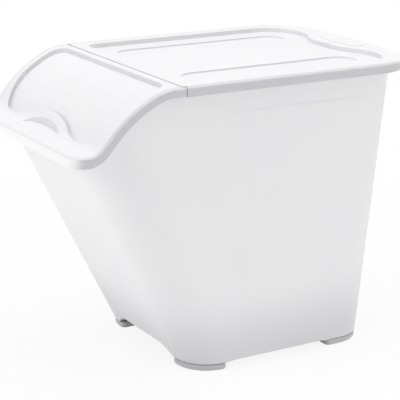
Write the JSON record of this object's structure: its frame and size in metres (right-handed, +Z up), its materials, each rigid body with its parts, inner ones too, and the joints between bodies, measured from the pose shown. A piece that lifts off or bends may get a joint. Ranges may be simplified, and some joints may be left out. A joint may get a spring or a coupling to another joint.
{
  "type": "flip-front storage box",
  "caption": "Slope-fronted storage box: tapered translucent tub on corner feet, lift-off lid with a sunk panel, and a hinged front flap with a thumb dish.",
  "frame": {"origin": "on the floor under the middle of the box's outline, feet, lid and flap included", "axes": "+Z up, -Y towards the flap's front lip, +X towards the side wall that faces the camera in the picture"},
  "size_m": [0.3, 0.487, 0.3722],
  "materials": {
    "tub_plastic": "milky translucent polypropylene, satin",
    "lid_plastic": "opaque white polypropylene, satin with a fine moulded grain",
    "foot_plastic": "grey-white polypropylene, satin"
  },
  "bodies": {
    "tub": {"tub": "tub_plastic", "foot_front_left": "foot_plastic", "foot_front_right": "foot_plastic", "foot_rear_left": "foot_plastic", "foot_rear_right": "foot_plastic"},
    "lid": {"lid": "lid_plastic"},
    "flap": {"flap": "lid_plastic"}
  },
  "joints": [
    {"name": "lid_lift", "type": "slide", "parent": "tub", "child": "lid", "axis": [0, 0, 1], "range_m": [0, 0.12]},
    {"name": "flap_hinge", "type": "hinge", "parent": "lid", "child": "flap", "pos_m": [0, -0.1131, 0.3663], "axis": [-1, 0, 0], "range_deg": [0, 115]}
  ]
}
